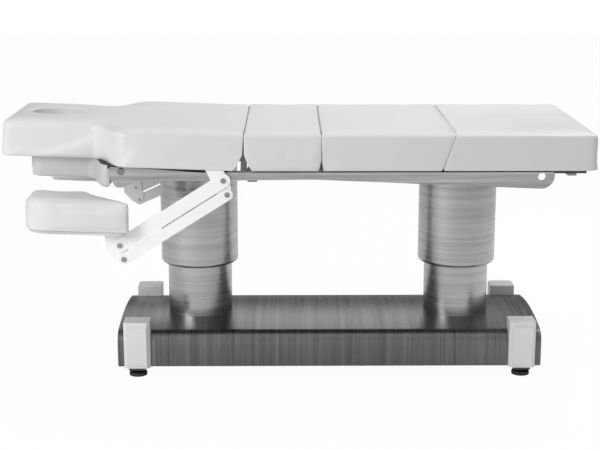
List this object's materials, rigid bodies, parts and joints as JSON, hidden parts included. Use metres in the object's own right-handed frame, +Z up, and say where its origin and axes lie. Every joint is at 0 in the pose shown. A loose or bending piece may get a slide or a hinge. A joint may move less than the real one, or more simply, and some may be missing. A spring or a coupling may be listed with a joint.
{
  "type": "treatment bed",
  "caption": "Padded treatment bed with face opening, folding back and leg sections and drop-down armrests on two telescopic lifting columns above a low brushed base.",
  "frame": {"origin": "on the floor under the middle of the bounding box", "axes": "+X from the head end to the foot end, +Y to the far long side, +Z up"},
  "size_m": [2.05, 0.88, 0.9278],
  "materials": {
    "leatherette": "soft pale grey leatherette with a fine grain",
    "board": "dark sealed plywood",
    "frame_paint": "light grey powder coat",
    "shell": "satin light grey moulded shell",
    "brushed": "brushed stainless steel",
    "base_steel": "dark brushed steel with a fine cross grain",
    "housing": "satin light silver paint",
    "arm_paint": "smooth near white powder coat",
    "pin_steel": "turned steel",
    "rubber": "black rubber",
    "chassis_paint": "black powder coat",
    "guide": "extruded aluminium",
    "drive": "dark grey moulded housing",
    "rod_chrome": "bright plated rod"
  },
  "bodies": {
    "base": {"base_cover": "base_steel", "chassis": "chassis_paint", "control_box": "drive", "power_inlet": "drive", "corner_plates": "housing", "levelling_feet": "rubber", "corner_housing_head_near": "housing", "corner_housing_head_far": "housing", "corner_housing_foot_near": "housing", "corner_housing_foot_far": "housing", "head_column_lower": "brushed", "head_guide_outer": "guide", "foot_column_lower": "brushed", "foot_guide_outer": "guide"},
    "lift": {"head_column_upper": "brushed", "head_guide_inner": "guide", "foot_column_upper": "brushed", "foot_guide_inner": "guide", "wiper_rings": "rubber", "frame_crossbars": "frame_paint", "frame_beams": "frame_paint", "seat_board": "board", "seat_cushion": "leatherette", "seat_hinge_plates": "frame_paint", "hinge_pins": "pin_steel", "drive_clamps": "frame_paint", "back_drive_body": "drive", "leg_drive_body": "drive", "rail_near": "brushed", "rail_far": "brushed"},
    "back_drive": {"back_drive_rod": "rod_chrome"},
    "leg_drive": {"leg_drive_rod": "rod_chrome"},
    "back": {"back_board": "board", "back_cushion": "leatherette", "back_frame": "frame_paint", "under_shell": "shell", "face_ring": "shell", "arm_bracket_near": "arm_paint", "arm_bracket_far": "arm_paint", "arm_upper_bolts": "pin_steel"},
    "leg": {"leg_board": "board", "leg_cushion": "leatherette", "leg_frame": "frame_paint", "knee_pins": "pin_steel"},
    "foot": {"foot_board": "board", "foot_cushion": "leatherette", "foot_frame": "frame_paint"},
    "arm_upper_near": {"arm_upper_link_near": "arm_paint"},
    "arm_lower_near": {"arm_lower_link_near": "arm_paint"},
    "arm_rest_near": {"arm_carrier_near": "arm_paint", "arm_board_near": "board", "arm_cushion_near": "leatherette", "arm_lower_bolts_near": "pin_steel"},
    "arm_upper_far": {"arm_upper_link_far": "arm_paint"},
    "arm_lower_far": {"arm_lower_link_far": "arm_paint"},
    "arm_rest_far": {"arm_carrier_far": "arm_paint", "arm_board_far": "board", "arm_cushion_far": "leatherette", "arm_lower_bolts_far": "pin_steel"}
  },
  "joints": [
    {"name": "lift", "type": "slide", "parent": "base", "child": "lift", "axis": [0, 0, 1], "range_m": [-0.17, 0.05]},
    {"name": "back", "type": "hinge", "parent": "lift", "child": "back", "pos_m": [-0.18157, 0, 0.885], "axis": [0, 1, 0], "range_deg": [0, 62]},
    {"name": "leg", "type": "hinge", "parent": "lift", "child": "leg", "pos_m": [0.08343, 0, 0.885], "axis": [0, -1, 0], "range_deg": [0, 30]},
    {"name": "foot", "type": "hinge", "parent": "leg", "child": "foot", "pos_m": [0.49743, 0, 0.7536], "axis": [0, -1, 0], "range_deg": [-30, 0]},
    {"name": "back_drive", "type": "slide", "parent": "lift", "child": "back_drive", "axis": [-1, 0, 0], "range_m": [0, 0.19564]},
    {"name": "leg_drive", "type": "slide", "parent": "lift", "child": "leg_drive", "axis": [1, 0, 0], "range_m": [0, 0.08938]},
    {"name": "arm_upper_near", "type": "hinge", "parent": "back", "child": "arm_upper_near", "pos_m": [-0.25167, 0, 0.73996], "axis": [0, 1, 0], "range_deg": [-12, 34]},
    {"name": "arm_lower_near", "type": "hinge", "parent": "back", "child": "arm_lower_near", "pos_m": [-0.23867, 0, 0.69098], "axis": [0, 1, 0], "range_deg": [-12, 34]},
    {"name": "arm_rest_near", "type": "hinge", "parent": "arm_upper_near", "child": "arm_rest_near", "pos_m": [-0.61082, 0, 0.51291], "axis": [0, 1, 0], "range_deg": [-34, 12]},
    {"name": "arm_upper_far", "type": "hinge", "parent": "back", "child": "arm_upper_far", "pos_m": [-0.25167, 0, 0.73996], "axis": [0, 1, 0], "range_deg": [-19.7, 26.3]},
    {"name": "arm_lower_far", "type": "hinge", "parent": "back", "child": "arm_lower_far", "pos_m": [-0.23867, 0, 0.69098], "axis": [0, 1, 0], "range_deg": [-19.7, 26.3]},
    {"name": "arm_rest_far", "type": "hinge", "parent": "arm_upper_far", "child": "arm_rest_far", "pos_m": [-0.63801, 0, 0.56308], "axis": [0, 1, 0], "range_deg": [-26.3, 19.7]}
  ],
  "couplings": [
    {"joint": "foot", "follows": "leg", "ratio": -1},
    {"joint": "back_drive", "follows": "back", "m_per_rad": 0.18061},
    {"joint": "leg_drive", "follows": "leg", "m_per_rad": 0.17032},
    {"joint": "arm_lower_near", "follows": "arm_upper_near", "ratio": 1},
    {"joint": "arm_rest_near", "follows": "arm_upper_near", "ratio": -1},
    {"joint": "arm_lower_far", "follows": "arm_upper_far", "ratio": 1},
    {"joint": "arm_rest_far", "follows": "arm_upper_far", "ratio": -1}
  ]
}
